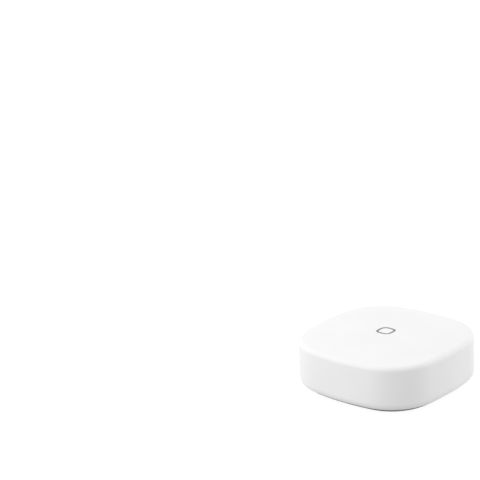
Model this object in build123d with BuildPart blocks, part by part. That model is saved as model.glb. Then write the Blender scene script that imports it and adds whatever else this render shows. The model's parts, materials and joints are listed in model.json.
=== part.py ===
from build123d import *
from math import atan2, degrees, sqrt
import os

os.makedirs("parts", exist_ok=True)

# A smart button: a white shell in the shape of a rounded square travels straight down over a fixed
# base. The base holds a coin cell behind a bayonet door, a circuit board and two tactile switches.
# Sizes are in millimetres. The origin is the middle of the footprint on the table, with Z up.

# Driving dimensions of the outside
side = 51.0
corner_radius = 16.8
flat_radius = 75.0
crown_rise = 1.5
top_softness = 1.6
bottom_softness = 2.6
cap_lift = 1.1
press_travel = 0.4
crown_shares = (1.0, 0.85, 0.65, 0.4, 0.16)

# Walls and the clearances between pieces
cap_wall = 2.0
top_thickness = 1.85
cap_clearance = 0.35
tray_wall = 1.4
floor_thickness = 1.5
foot_stand = 0.4
overrun = 0.5
fit_gap = 0.05

# The coin cell and its door
cell_diameter = 24.5
cell_height = 5.0
cell_clearance = 0.45
bay_wall = 1.2
bay_wall_height = 4.9
door_recess = 0.1
door_thickness = 1.45
door_clearance = 0.2
ledge_thickness = 0.65
lug_reach = 1.1
lug_thickness = 0.65
lug_play = 0.1
lug_count = 3
lug_angle = 24.0
lug_slack_angle = 1.5
unlock_angle = 30.0

# The stack above the cell
contact_height = 1.7
board_thickness = 1.2
switch_height = 4.3
boss_height = 1.3

# Angles and counts of the plan
quarter_turn = 90.0
third_turn = 120.0
side_count = 4
upward = Vector(0, 0, 1)
side_directions = [Vector(1, 0).rotate(Axis.Z, turn * quarter_turn) for turn in range(side_count)]

# Levels, from the table up
tray_bottom = foot_stand
floor_top = tray_bottom + floor_thickness
door_bottom = tray_bottom + door_recess
cell_bottom = door_bottom + door_thickness + fit_gap
cell_top = cell_bottom + cell_height
board_bottom = cell_top + contact_height
board_top = board_bottom + board_thickness
plunger_top = board_top + switch_height
boss_bottom = plunger_top + fit_gap
lid_under = boss_bottom + boss_height
height = lid_under + top_thickness
rim_level = height - crown_rise
inner_rim_level = lid_under - crown_rise

# The plan is eight tangent arcs: a wide one along each side and a tight one round each corner
half_side = side / 2
flat_offset = flat_radius - half_side
arc_distance = flat_radius - corner_radius
corner_offset = (sqrt(2 * arc_distance**2 - flat_offset**2) - flat_offset) / 2
flat_angle = degrees(atan2(corner_offset, corner_offset + flat_offset))
corner_reach = corner_offset * sqrt(2) + corner_radius

# Insets of the nested outlines, and the places that they set
tray_inset = cap_wall + cap_clearance
tray_inner_inset = tray_inset + tray_wall
tray_inner_half = half_side - tray_inner_inset
bay_radius = cell_diameter / 2 + cell_clearance
bay_outer_radius = bay_radius + bay_wall
screw_place = (bay_outer_radius + tray_inner_half) / 2


def plan_outline(inset=0.0, share=1.0, mode=Mode.ADD):
    """Draws the rounded square, inset all round and then scaled by a share."""
    with BuildLine() as outline:
        for turn in range(side_count):
            facing = turn * quarter_turn
            flat_centre = Vector(-flat_offset, 0).rotate(Axis.Z, facing) * share
            CenterArc(flat_centre, (flat_radius - inset) * share, facing - flat_angle, 2 * flat_angle)
            corner_centre = Vector(corner_offset, corner_offset).rotate(Axis.Z, facing) * share
            corner_span = quarter_turn - 2 * flat_angle
            CenterArc(corner_centre, (corner_radius - inset) * share, facing + flat_angle, corner_span)
    make_face(outline.edges(), mode=mode)


def ring_sector(inner_radius, outer_radius, start_angle, span_angle):
    """Draws a stretch of a flat ring about the middle."""
    with BuildLine() as outline:
        outer_arc = CenterArc((0, 0), outer_radius, start_angle, span_angle)
        inner_arc = CenterArc((0, 0), inner_radius, start_angle + span_angle, -span_angle)
        Line(outer_arc @ 1, inner_arc @ 0)
        Line(inner_arc @ 1, outer_arc @ 0)
    make_face(outline.edges())


def crowned_block(inset, bottom, rim, mode=Mode.ADD):
    """Adds or cuts the rounded square with straight sides up to its rim and a crown above it."""
    with BuildSketch(Plane.XY.offset(bottom)) as foot:
        plan_outline(inset)
    extrude(foot.sketch, amount=rim - bottom, mode=mode)
    slices = []
    for share in crown_shares:
        rise_share = (1 - share**2) / (1 - crown_shares[-1] ** 2)
        with BuildSketch(Plane.XY.offset(rim + crown_rise * rise_share)) as crown_slice:
            plan_outline(inset, share)
        slices.append(crown_slice.sketch.face())
    loft(slices, mode=mode)


def keep(piece, name):
    """Labels a finished piece and writes its file."""
    piece.part.label = name
    export_step(piece.part, f"parts/{name}.step")


# Return springs, one in each corner, between the board and the shell
spring_radius = 2.4
spring_wire = 0.35
spring_turns = 4
spring_margin = 1.0
spring_seat_drop = 1.1
spring_top = lid_under - spring_seat_drop
spring_length = spring_top - board_top - 2 * fit_gap
spring_climb = spring_length - spring_wire
post_reach = corner_reach - tray_inner_inset - spring_radius - spring_wire / 2 - spring_margin
post_place = post_reach / sqrt(2)
post_spots = GridLocations(2 * post_place, 2 * post_place, 2, 2).locations

with BuildPart() as return_springs:
    for spot in post_spots:
        with BuildLine(Plane(spot)) as coil:
            Helix(
                pitch=spring_climb / spring_turns,
                height=spring_climb,
                radius=spring_radius,
                center=(0, 0, board_top + fit_gap + spring_wire / 2),
            )
        coil_path = coil.edge()
        with BuildSketch(Plane(coil_path @ 0, z_dir=coil_path % 0)):
            Circle(spring_wire / 2)
        sweep(path=coil_path, is_frenet=True)
keep(return_springs, "return_springs")

# Switch places and sizes, which the shell and the board follow
switch_size = 6.0
switch_margin = 4.2
switch_place = tray_inner_half - switch_size / 2 - switch_margin
switch_spots = ((-switch_place, 0), (switch_place, 0))
plunger_radius = 1.7

# Guide posts on the base and guide sleeves in the shell
post_radius = 1.2
post_foot_radius = 2.2
post_top_gap = 0.6
post_chamfer = 0.3
post_top = spring_top - press_travel - post_top_gap
sleeve_clearance = 0.15
sleeve_wall = 0.65
sleeve_length = 3.2
sleeve_radius = post_radius + sleeve_clearance
sleeve_bottom = spring_top - sleeve_length
spring_seat_radius = spring_radius + spring_wire

# Snap hooks inside the shell, and the windows in the base that they sit in
hook_width = 6.0
hook_reach = 0.65
hook_height = 2.0
hook_lip = 0.6
hook_top = floor_top + hook_height + press_travel + overrun
hook_inset = tray_inset + hook_reach
window_play = 0.5
window_top = hook_top + fit_gap
window_bottom = hook_top - hook_height - press_travel - overrun / 2

# The halo in the middle of the top
halo_size = 5.7
halo_rim = 0.8
halo_cap_depth = 0.8
halo_share = halo_size / side
halo_rim_inset = halo_rim / halo_share

# The shell, which is pressed as a whole
with BuildPart() as press_cap:
    crowned_block(0, cap_lift, rim_level)
    rim_edges = press_cap.edges().filter_by_position(Axis.Z, rim_level - fit_gap, rim_level + fit_gap)
    fillet(rim_edges, top_softness)
    fillet(press_cap.edges().group_by(Axis.Z)[0], bottom_softness)
    crowned_block(cap_wall, 0, inner_rim_level, mode=Mode.SUBTRACT)
    # Seats for the springs, and sleeves that run on the guide posts
    with BuildSketch(Plane.XY.offset(spring_top)):
        with Locations(post_spots):
            Circle(spring_seat_radius)
    extrude(amount=lid_under - spring_top)
    with BuildSketch(Plane.XY.offset(sleeve_bottom)):
        with Locations(post_spots):
            Circle(sleeve_radius + sleeve_wall)
    extrude(amount=lid_under - sleeve_bottom)
    with BuildSketch(Plane.XY.offset(sleeve_bottom)):
        with Locations(post_spots):
            Circle(sleeve_radius)
    extrude(amount=spring_top - sleeve_bottom, mode=Mode.SUBTRACT)
    # Bosses that push the switch plungers
    with BuildSketch(Plane.XY.offset(boss_bottom)):
        with Locations(switch_spots):
            Circle(plunger_radius)
    extrude(amount=boss_height)
    # A snap hook at the middle of each side, with a sloped lead-in
    wall_inside = half_side - cap_wall
    hook_tip = half_side - hook_inset
    for outward in side_directions:
        with BuildSketch(Plane((0, 0, 0), x_dir=outward, z_dir=outward.cross(upward))):
            with BuildLine():
                Polyline(
                    (wall_inside + cap_wall / 2, hook_top),
                    (hook_tip, hook_top),
                    (hook_tip, hook_top - hook_lip),
                    (wall_inside, hook_top - hook_height),
                    (wall_inside + cap_wall / 2, hook_top - hook_height),
                    close=True,
                )
            make_face()
        extrude(amount=hook_width / 2, both=True)
    # The seat of the halo, through the top
    with BuildSketch(Plane.XY.offset(lid_under - overrun)):
        plan_outline(0, halo_share)
    extrude(amount=top_thickness + 2 * overrun, mode=Mode.SUBTRACT)
keep(press_cap, "press_cap")

# The light guide, whose rim is the ring in the top
led_height = 0.7
led_top = board_top + led_height
guide_flange_radius = 3.5
guide_flange = 0.6
guide_stem_radius = 1.5
guide_gap = 0.3
guide_bottom = led_top + press_travel + guide_gap

with BuildPart() as halo_light_guide:
    with BuildSketch(Plane.XY.offset(lid_under)):
        plan_outline(0, halo_share)
    extrude(amount=top_thickness)
    with BuildSketch(Plane.XY.offset(height - halo_cap_depth)):
        plan_outline(halo_rim_inset, halo_share)
    extrude(amount=halo_cap_depth, mode=Mode.SUBTRACT)
    with BuildSketch(Plane.XY.offset(lid_under - guide_flange)):
        Circle(guide_flange_radius)
    extrude(amount=guide_flange)
    with BuildSketch(Plane.XY.offset(guide_bottom)):
        Circle(guide_stem_radius)
    extrude(amount=lid_under - guide_flange - guide_bottom)
keep(halo_light_guide, "halo_light_guide")

# The white insert inside the ring
with BuildPart() as halo_center_cap:
    with BuildSketch(Plane.XY.offset(height - halo_cap_depth)):
        plan_outline(halo_rim_inset, halo_share)
    extrude(amount=halo_cap_depth)
keep(halo_center_cap, "halo_center_cap")

# The fixed base
tray_wall_gap = 1.2
tray_top = inner_rim_level - press_travel - tray_wall_gap
tray_chamfer = 0.4
foot_inset = tray_inset + tray_chamfer + overrun
foot_width = 2.0
foot_seat = 0.4
foot_softness = 0.25
ledge_top = tray_bottom + ledge_thickness
lug_outer_radius = bay_radius + lug_reach
lug_bottom = ledge_top + lug_play
pocket_radius = lug_outer_radius + door_clearance
pocket_angle = lug_angle + unlock_angle + 2 * lug_slack_angle
notch_angle = lug_angle + 2 * lug_slack_angle
mark_radius = 0.8
mark_sides = 3
mark_width = 0.5
mark_depth = 0.25
mark_margin = 2.2
tray_mark_place = pocket_radius + mark_margin
screw_radius = 0.75
screw_length = 4.5
screw_head_radius = 1.6
screw_head_height = 1.0
screw_boss_radius = 2.1
contact_width = 3.0
contact_window = contact_width + 2 * cell_clearance
screw_spots = ((0, -screw_place), (0, screw_place))


def foot_outline():
    """Draws the band that the soft foot fills."""
    plan_outline(foot_inset)
    plan_outline(foot_inset + foot_width, mode=Mode.SUBTRACT)


with BuildPart() as base_tray:
    with BuildSketch(Plane.XY.offset(tray_bottom)):
        plan_outline(tray_inset)
    extrude(amount=tray_top - tray_bottom)
    chamfer(base_tray.edges().group_by(Axis.Z)[0], tray_chamfer)
    with BuildSketch(Plane.XY.offset(floor_top)):
        plan_outline(tray_inner_inset)
    extrude(amount=tray_top - floor_top, mode=Mode.SUBTRACT)
    # The wall round the cell, the feet of the guide posts and the screw bosses
    with BuildSketch(Plane.XY.offset(floor_top)):
        Circle(bay_outer_radius)
    extrude(amount=bay_wall_height)
    with BuildSketch(Plane.XY.offset(floor_top)):
        with Locations(post_spots):
            Circle(post_foot_radius)
        with Locations(screw_spots):
            Circle(screw_boss_radius)
    extrude(amount=board_bottom - floor_top)
    with BuildSketch(Plane.XY.offset(tray_bottom)):
        Circle(bay_radius)
    extrude(amount=board_bottom - tray_bottom, mode=Mode.SUBTRACT)
    with BuildSketch(Plane.XY.offset(board_bottom - screw_length)):
        with Locations(screw_spots):
            Circle(screw_radius)
    extrude(amount=screw_length, mode=Mode.SUBTRACT)
    with BuildSketch(Plane.XY.offset(board_bottom)):
        with Locations(post_spots):
            Circle(post_radius)
    extrude(amount=post_top - board_bottom)
    post_rims = base_tray.edges().filter_by(GeomType.CIRCLE).filter_by_position(Axis.Z, post_top, post_top)
    chamfer(post_rims, post_chamfer)
    # The way through the cell's wall for the side contact
    with BuildSketch(Plane.XY.offset(floor_top)):
        with Locations((-bay_radius - bay_wall / 2, 0)):
            Rectangle(2 * bay_wall, contact_window)
    extrude(amount=bay_wall_height, mode=Mode.SUBTRACT)
    # The groove of the foot
    with BuildSketch(Plane.XY.offset(tray_bottom)):
        foot_outline()
    extrude(amount=foot_seat, mode=Mode.SUBTRACT)
    # Bayonet pockets above the ledge, and the notches that let the lugs in
    for lug in range(lug_count):
        locked_angle = lug * third_turn - lug_angle / 2
        with BuildSketch(Plane.XY.offset(ledge_top)):
            ring_sector(bay_radius - overrun, pocket_radius, locked_angle - lug_slack_angle, pocket_angle)
        extrude(amount=floor_top - ledge_top, mode=Mode.SUBTRACT)
        notch_start = locked_angle + unlock_angle - lug_slack_angle
        with BuildSketch(Plane.XY.offset(tray_bottom)):
            ring_sector(bay_radius - overrun, pocket_radius, notch_start, notch_angle)
        extrude(amount=ledge_thickness, mode=Mode.SUBTRACT)
    # Marks for the door: a triangle where it is closed, and a bar where it is open
    with BuildSketch(Plane.XY.offset(tray_bottom)):
        with PolarLocations(tray_mark_place, 1, start_angle=quarter_turn):
            RegularPolygon(mark_radius, mark_sides, rotation=2 * quarter_turn)
        with PolarLocations(tray_mark_place, 1, start_angle=quarter_turn + unlock_angle):
            Rectangle(2 * mark_radius, mark_width)
    extrude(amount=mark_depth, mode=Mode.SUBTRACT)
    # Windows for the snap hooks
    for outward in side_directions:
        window_start = outward * (tray_inner_half - overrun)
        with BuildSketch(Plane(window_start, x_dir=upward.cross(outward), z_dir=outward)):
            with Locations((0, (window_top + window_bottom) / 2)):
                Rectangle(hook_width + 2 * window_play, window_top - window_bottom)
        extrude(amount=tray_wall + 2 * overrun, mode=Mode.SUBTRACT)
keep(base_tray, "base_tray")

# The soft foot round the edge of the base
with BuildPart() as foot_ring:
    with BuildSketch():
        foot_outline()
    extrude(amount=foot_stand + foot_seat)
    fillet(foot_ring.edges().group_by(Axis.Z)[0], foot_softness)
keep(foot_ring, "foot_ring")

# The battery door, turned with a coin
door_radius = bay_radius - door_clearance
door_chamfer = 0.3
coin_slot_length = 12.0
coin_slot_width = 1.8
coin_slot_depth = 0.8
door_mark_share = 0.82

with BuildPart() as battery_door:
    with BuildSketch(Plane.XY.offset(door_bottom)):
        Circle(door_radius)
    extrude(amount=door_thickness)
    chamfer(battery_door.edges().group_by(Axis.Z)[0], door_chamfer)
    for lug in range(lug_count):
        with BuildSketch(Plane.XY.offset(lug_bottom)):
            lug_start = lug * third_turn - lug_angle / 2
            ring_sector(door_radius - overrun, lug_outer_radius, lug_start, lug_angle)
        extrude(amount=lug_thickness)
    with BuildSketch(Plane.XY.offset(door_bottom)):
        SlotOverall(coin_slot_length, coin_slot_width)
    extrude(amount=coin_slot_depth, mode=Mode.SUBTRACT)
    with BuildSketch(Plane.XY.offset(door_bottom)):
        with PolarLocations(door_mark_share * door_radius, 1, start_angle=quarter_turn):
            RegularPolygon(mark_radius, mark_sides)
    extrude(amount=mark_depth, mode=Mode.SUBTRACT)
keep(battery_door, "battery_door")

# The coin cell: a can, a sealing ring and a lid, with what they enclose
cell_radius = cell_diameter / 2
can_sheet = 0.25
can_softness = 0.6
can_rim_drop = 0.35
gasket_width = 0.7
lid_softness = 0.5
pellet_height = 2.1
separator_height = 0.1
pellet_gap = 0.2
can_inner_radius = cell_radius - can_sheet
lid_radius = can_inner_radius - gasket_width
lid_inner_radius = lid_radius - can_sheet
can_floor = cell_bottom + can_sheet
pellet_top = can_floor + pellet_height
separator_top = pellet_top + separator_height
pellet_radius = lid_inner_radius - pellet_gap

with BuildPart() as coin_cell_can:
    with BuildSketch(Plane.XY.offset(cell_bottom)):
        Circle(cell_radius)
    extrude(amount=cell_height - can_rim_drop)
    fillet(coin_cell_can.edges().group_by(Axis.Z)[0], can_softness)
    with BuildSketch(Plane.XY.offset(can_floor)):
        Circle(can_inner_radius)
    extrude(amount=cell_height, mode=Mode.SUBTRACT)
keep(coin_cell_can, "coin_cell_can")

with BuildPart() as coin_cell_gasket:
    with BuildSketch(Plane.XY.offset(can_floor)):
        Circle(can_inner_radius)
        Circle(lid_radius, mode=Mode.SUBTRACT)
    extrude(amount=cell_height - can_sheet - can_rim_drop / 2)
keep(coin_cell_gasket, "coin_cell_gasket")

with BuildPart() as coin_cell_lid:
    with BuildSketch(Plane.XY.offset(pellet_top)):
        Circle(lid_radius)
    extrude(amount=cell_top - pellet_top)
    fillet(coin_cell_lid.edges().group_by(Axis.Z)[-1], lid_softness)
    with BuildSketch(Plane.XY.offset(pellet_top)):
        Circle(lid_inner_radius)
    extrude(amount=cell_top - pellet_top - can_sheet, mode=Mode.SUBTRACT)
keep(coin_cell_lid, "coin_cell_lid")

with BuildPart() as cell_cathode_pellet:
    with BuildSketch(Plane.XY.offset(can_floor)):
        Circle(pellet_radius)
    extrude(amount=pellet_height)
keep(cell_cathode_pellet, "cell_cathode_pellet")

with BuildPart() as cell_separator:
    with BuildSketch(Plane.XY.offset(pellet_top)):
        Circle(pellet_radius)
    extrude(amount=separator_height)
keep(cell_separator, "cell_separator")

with BuildPart() as cell_lithium_disc:
    with BuildSketch(Plane.XY.offset(separator_top)):
        Circle(pellet_radius)
    extrude(amount=cell_top - can_sheet - separator_top)
keep(cell_lithium_disc, "cell_lithium_disc")

# The two contacts, bent from sheet and soldered under the board
contact_sheet = 0.2
contact_bend = 0.4
contact_pad = 4.0
contact_toe_lift = 0.5
contact_arm = 6.0
side_contact_drop = 4.0
side_contact_tail = 1.2
side_contact_lean = 0.5
pad_level = board_bottom - contact_sheet

with BuildPart() as negative_contact:
    with BuildLine(Plane.XZ.offset(-contact_width / 2)) as leaf_path:
        FilletPolyline(
            (-contact_pad - contact_arm / 2, pad_level),
            (-contact_arm / 2, pad_level),
            (contact_arm / 2, cell_top + fit_gap),
            (contact_arm / 2 + contact_toe_lift * 2, cell_top + fit_gap + contact_toe_lift),
            radius=contact_bend,
        )
    make_brake_formed(contact_sheet, contact_width, leaf_path.wire(), side=Side.LEFT)
keep(negative_contact, "negative_contact")

side_contact_place = -cell_radius - fit_gap - contact_sheet
side_contact_touch = pad_level - side_contact_drop
with BuildPart() as positive_contact:
    with BuildLine(Plane.XZ.offset(-contact_width / 2)) as side_path:
        FilletPolyline(
            (side_contact_place - side_contact_lean - contact_pad, pad_level),
            (side_contact_place - side_contact_lean, pad_level),
            (side_contact_place, side_contact_touch),
            (side_contact_place - side_contact_lean, side_contact_touch - side_contact_tail),
            radius=contact_bend,
        )
    make_brake_formed(contact_sheet, contact_width, side_path.wire(), side=Side.LEFT)
keep(positive_contact, "positive_contact")

# The circuit board, held on the posts and by two screws
board_clearance = 0.4
board_inset = tray_inner_inset + board_clearance
board_half = half_side - board_inset
hole_clearance = 0.1

with BuildPart() as circuit_board:
    with BuildSketch(Plane.XY.offset(board_bottom)):
        plan_outline(board_inset)
        with Locations(post_spots):
            Circle(post_radius + hole_clearance, mode=Mode.SUBTRACT)
        with Locations(screw_spots):
            Circle(screw_radius + hole_clearance, mode=Mode.SUBTRACT)
    extrude(amount=board_thickness)
keep(circuit_board, "circuit_board")

screw_recess_width = 0.4
screw_recess_length = 1.9
screw_recess_depth = 0.5
screw_head_softness = 0.35
screw_head_top = board_top + screw_head_height

with BuildPart() as board_screws:
    with BuildSketch(Plane.XY.offset(board_bottom - screw_length)):
        with Locations(screw_spots):
            Circle(screw_radius)
    extrude(amount=screw_length + board_thickness)
    with BuildSketch(Plane.XY.offset(board_top)):
        with Locations(screw_spots):
            Circle(screw_head_radius)
    extrude(amount=screw_head_height)
    fillet(board_screws.edges().group_by(Axis.Z)[-1], screw_head_softness)
    with BuildSketch(Plane.XY.offset(screw_head_top - screw_recess_depth)):
        with Locations(screw_spots):
            Rectangle(screw_recess_length, screw_recess_width)
            Rectangle(screw_recess_width, screw_recess_length)
    extrude(amount=screw_recess_depth, mode=Mode.SUBTRACT)
keep(board_screws, "board_screws")

# The tactile switches: a body with its dome and cover, four terminals and a moving plunger
cover_sheet = 0.2
stem_rise = 0.9
switch_floor = 0.7
switch_wall = 0.4
dome_clearance = 0.2
dome_rise = 0.7
dome_sheet = 0.1
collar_thickness = 0.4
nub_radius = 0.9
stem_clearance = 0.1
tab_length = 1.6
terminal_width = 0.7
terminal_reach = 1.1
terminal_sheet = 0.2
terminal_height = 0.9
terminal_spread = 2.25
cavity_radius = switch_size / 2 - switch_wall
dome_radius = cavity_radius - dome_clearance
cover_top = plunger_top - stem_rise
body_top = cover_top - cover_sheet
dome_bottom = board_top + switch_floor
dome_top = dome_bottom + dome_rise
collar_top = body_top - fit_gap

with BuildPart() as switch_bodies:
    with BuildSketch(Plane.XY.offset(board_top)):
        with Locations(switch_spots):
            Rectangle(switch_size, switch_size)
    extrude(amount=body_top - board_top)
    with BuildSketch(Plane.XY.offset(dome_bottom)):
        with Locations(switch_spots):
            Circle(cavity_radius)
    extrude(amount=body_top - dome_bottom, mode=Mode.SUBTRACT)
keep(switch_bodies, "switch_bodies")

with BuildPart() as switch_covers:
    with BuildSketch(Plane.XY.offset(body_top)):
        with Locations(switch_spots):
            Rectangle(switch_size, switch_size + 2 * cover_sheet)
            Circle(plunger_radius + stem_clearance, mode=Mode.SUBTRACT)
    extrude(amount=cover_sheet)
    with BuildSketch(Plane.XY.offset(body_top - tab_length)):
        with Locations(switch_spots):
            with GridLocations(0, switch_size + cover_sheet, 1, 2):
                Rectangle(switch_size / 2, cover_sheet)
    extrude(amount=tab_length)
keep(switch_covers, "switch_covers")

with BuildPart() as switch_domes:
    for spot in switch_spots:
        dome_plane = Plane(origin=(spot[0], spot[1], dome_bottom), x_dir=(1, 0, 0), z_dir=(0, -1, 0))
        with BuildSketch(dome_plane):
            with BuildLine():
                outer = TangentArc((0, dome_rise), (dome_radius, dome_sheet), tangent=(1, 0))
                inner_start = (0, dome_rise - dome_sheet)
                inner = TangentArc(inner_start, (dome_radius - dome_sheet, 0), tangent=(1, 0))
                Line(outer @ 0, inner @ 0)
                Polyline(outer @ 1, (dome_radius, 0), inner @ 1)
            make_face()
        revolve(axis=Axis((spot[0], spot[1], 0), (0, 0, 1)))
keep(switch_domes, "switch_domes")

with BuildPart() as switch_terminals:
    with BuildSketch(Plane.XY.offset(board_top)):
        with Locations(switch_spots):
            with GridLocations(switch_size + terminal_reach, 2 * terminal_spread, 2, 2):
                Rectangle(terminal_reach, terminal_width)
    extrude(amount=terminal_sheet)
    with BuildSketch(Plane.XY.offset(board_top)):
        with Locations(switch_spots):
            with GridLocations(switch_size + terminal_sheet, 2 * terminal_spread, 2, 2):
                Rectangle(terminal_sheet, terminal_width)
    extrude(amount=terminal_height)
keep(switch_terminals, "switch_terminals")

for name, spot in zip(("left_plunger", "right_plunger"), switch_spots):
    with BuildPart() as plunger:
        with BuildSketch(Plane.XY.offset(dome_top + fit_gap)):
            with Locations(spot):
                Circle(nub_radius)
        extrude(amount=collar_top - dome_top - fit_gap)
        with BuildSketch(Plane.XY.offset(collar_top - collar_thickness)):
            with Locations(spot):
                Circle(dome_radius)
        extrude(amount=collar_thickness)
        with BuildSketch(Plane.XY.offset(collar_top)):
            with Locations(spot):
                Circle(plunger_radius)
        extrude(amount=plunger_top - collar_top)
    keep(plunger, name)


def board_block(length, width, thickness, spots):
    """Adds a block on the board at each spot, given as shares of half the board."""
    with BuildSketch(Plane.XY.offset(board_top)) as block_plan:
        with Locations([(board_half * spot[0], board_half * spot[1]) for spot in spots]):
            Rectangle(length, width)
    extrude(block_plan.sketch, amount=thickness)


# The parts soldered to the top of the board
radio_spot_shares = ((0, 0.42),)
chip_size = 5.0
chip_height = 0.85
shield_length = 11.0
shield_width = 9.0
shield_height = 1.8
shield_sheet = 0.2

with BuildPart() as radio_chip:
    board_block(chip_size, chip_size, chip_height, radio_spot_shares)
keep(radio_chip, "radio_chip")

with BuildPart() as radio_shield:
    board_block(shield_length, shield_width, shield_height, radio_spot_shares)
    fillet(radio_shield.edges().filter_by(Axis.Z), 2 * shield_sheet)
    fillet(radio_shield.edges().group_by(Axis.Z)[-1], shield_sheet)
    shield_inner_length = shield_length - 2 * shield_sheet
    shield_inner_width = shield_width - 2 * shield_sheet
    with BuildSketch(Plane.XY.offset(board_top)):
        with Locations((0, board_half * radio_spot_shares[0][1])):
            Rectangle(shield_inner_length, shield_inner_width)
    extrude(amount=shield_height - shield_sheet, mode=Mode.SUBTRACT)
keep(radio_shield, "radio_shield")

crystal_spot_shares = ((0.38, 0.46),)
crystal_length = 2.0
crystal_width = 3.2
crystal_height = 0.8
with BuildPart() as clock_crystal:
    board_block(crystal_length, crystal_width, crystal_height, crystal_spot_shares)
    fillet(clock_crystal.edges().filter_by(Axis.Z), crystal_height / 2)
keep(clock_crystal, "clock_crystal")

antenna_spot_shares = ((0.42, 0.8),)
antenna_length = 7.0
antenna_width = 2.0
antenna_height = 1.1
with BuildPart() as chip_antenna:
    board_block(antenna_length, antenna_width, antenna_height, antenna_spot_shares)
keep(chip_antenna, "chip_antenna")

memory_spot_shares = ((-0.18, -0.42),)
memory_length = 5.0
memory_width = 4.0
memory_height = 0.9
with BuildPart() as flash_memory:
    board_block(memory_length, memory_width, memory_height, memory_spot_shares)
keep(flash_memory, "flash_memory")

sensor_spot_shares = ((0.3, -0.72),)
sensor_size = 2.0
sensor_height = 0.75
with BuildPart() as temperature_sensor:
    board_block(sensor_size, sensor_size, sensor_height, sensor_spot_shares)
keep(temperature_sensor, "temperature_sensor")

led_size = 2.0
led_lens_radius = 0.7
led_lens_depth = 0.2
with BuildPart() as status_led:
    board_block(led_size, led_size, led_height, ((0, 0),))
    with BuildSketch(Plane.XY.offset(led_top - led_lens_depth)):
        Circle(led_lens_radius)
    extrude(amount=led_lens_depth, mode=Mode.SUBTRACT)
keep(status_led, "status_led")

chip_part_length = 1.6
chip_part_width = 0.8
capacitor_height = 0.8
resistor_height = 0.45
capacitor_spot_shares = (
    (0.38, 0.24),
    (0.28, 0.1),
    (-0.38, 0.3),
    (-0.38, 0.52),
    (0.15, -0.28),
    (0.15, -0.52),
)
resistor_spot_shares = (
    (-0.38, 0.41),
    (-0.12, 0.72),
    (0.12, -0.72),
    (0.3, -0.4),
    (-0.12, -0.18),
    (-0.25, -0.78),
)
with BuildPart() as chip_capacitors:
    board_block(chip_part_length, chip_part_width, capacitor_height, capacitor_spot_shares)
keep(chip_capacitors, "chip_capacitors")

with BuildPart() as chip_resistors:
    board_block(chip_part_length, chip_part_width, resistor_height, resistor_spot_shares)
keep(chip_resistors, "chip_resistors")

print(f"the button is {side:.1f} x {side:.1f} x {height:.2f} mm")
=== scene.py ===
# %% [markdown]
# The smart button, dressed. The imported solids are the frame: they say where every piece is and what
# it moves with. This lesson gives each of them a finish and rebuilds the pieces whose soft edges or
# spring action need a finer mesh: the shell, the ring and the insert in its top, the foot, the
# springs and the domes. The plain colours that the solids came with are taken away first.

# %% Load the frame
import json
from math import acos, atan, atan2, cos, degrees, pi, radians, sin, sqrt

import bmesh
import bpy
from mathutils import Matrix, Vector


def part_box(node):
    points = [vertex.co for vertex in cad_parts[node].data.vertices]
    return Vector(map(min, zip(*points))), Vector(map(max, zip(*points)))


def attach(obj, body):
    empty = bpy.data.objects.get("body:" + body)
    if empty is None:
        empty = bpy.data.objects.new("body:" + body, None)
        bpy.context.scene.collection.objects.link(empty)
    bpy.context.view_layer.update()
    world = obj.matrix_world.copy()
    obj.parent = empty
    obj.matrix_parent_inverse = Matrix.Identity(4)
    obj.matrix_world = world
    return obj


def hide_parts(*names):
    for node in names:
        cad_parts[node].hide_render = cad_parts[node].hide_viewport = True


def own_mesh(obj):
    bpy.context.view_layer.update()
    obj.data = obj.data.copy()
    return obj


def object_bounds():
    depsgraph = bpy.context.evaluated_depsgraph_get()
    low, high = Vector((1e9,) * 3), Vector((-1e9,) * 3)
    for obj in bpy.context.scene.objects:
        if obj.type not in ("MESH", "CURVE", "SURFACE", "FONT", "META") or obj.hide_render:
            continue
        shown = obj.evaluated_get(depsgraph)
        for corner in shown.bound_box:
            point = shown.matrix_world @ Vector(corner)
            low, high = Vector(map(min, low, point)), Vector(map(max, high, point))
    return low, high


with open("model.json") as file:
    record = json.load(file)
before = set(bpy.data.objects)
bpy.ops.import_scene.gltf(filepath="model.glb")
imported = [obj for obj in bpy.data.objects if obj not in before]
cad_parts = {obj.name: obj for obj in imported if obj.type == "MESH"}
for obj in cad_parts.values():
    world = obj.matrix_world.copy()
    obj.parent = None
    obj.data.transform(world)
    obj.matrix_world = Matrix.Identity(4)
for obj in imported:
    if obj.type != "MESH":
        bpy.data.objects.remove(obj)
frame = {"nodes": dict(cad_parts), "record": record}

solid_low, solid_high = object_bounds()
nodes = frame["nodes"]
for plain_colour in list(bpy.data.materials):
    bpy.data.materials.remove(plain_colour)

# %% [markdown]
# The real button was drawn in millimetres, and Blender works in metres. Each new piece is modelled
# in millimetres, because small whole numbers are easy to read, and is scaled once at the end.

# %% Units and the sizes of the outside
MILLIMETRE = 0.001
FULL_TURN = 2 * pi
QUARTER_TURN = pi / 2
QUARTERS = 4
UP = Vector((0, 0, 1))

side = (solid_high.x - solid_low.x) / MILLIMETRE
height = solid_high.z / MILLIMETRE
corner_radius = 16.8
flat_radius = 75.0
crown_rise = 1.5
crown_flat_share = 0.16
rim_level = height - crown_rise
half_side = side / 2
print(f"the button is {side:.2f} mm wide and {height:.2f} mm tall")

# %% [markdown]
# The plan of the button is a rounded square of eight tangent arcs: a wide one along each side and a
# tight one round each corner. A superellipse would look close, but arcs are what the mould has, and
# a parallel inset of an arc is again an arc, so nested pieces keep an even gap.

# %% Where the arcs meet
flat_offset = flat_radius - half_side
arc_distance = flat_radius - corner_radius
corner_offset = (sqrt(2 * arc_distance**2 - flat_offset**2) - flat_offset) / 2
flat_angle = atan2(corner_offset, corner_offset + flat_offset)
corner_angle = QUARTER_TURN - 2 * flat_angle
print(f"each wide arc spans {degrees(2 * flat_angle):.1f} degrees")

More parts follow.
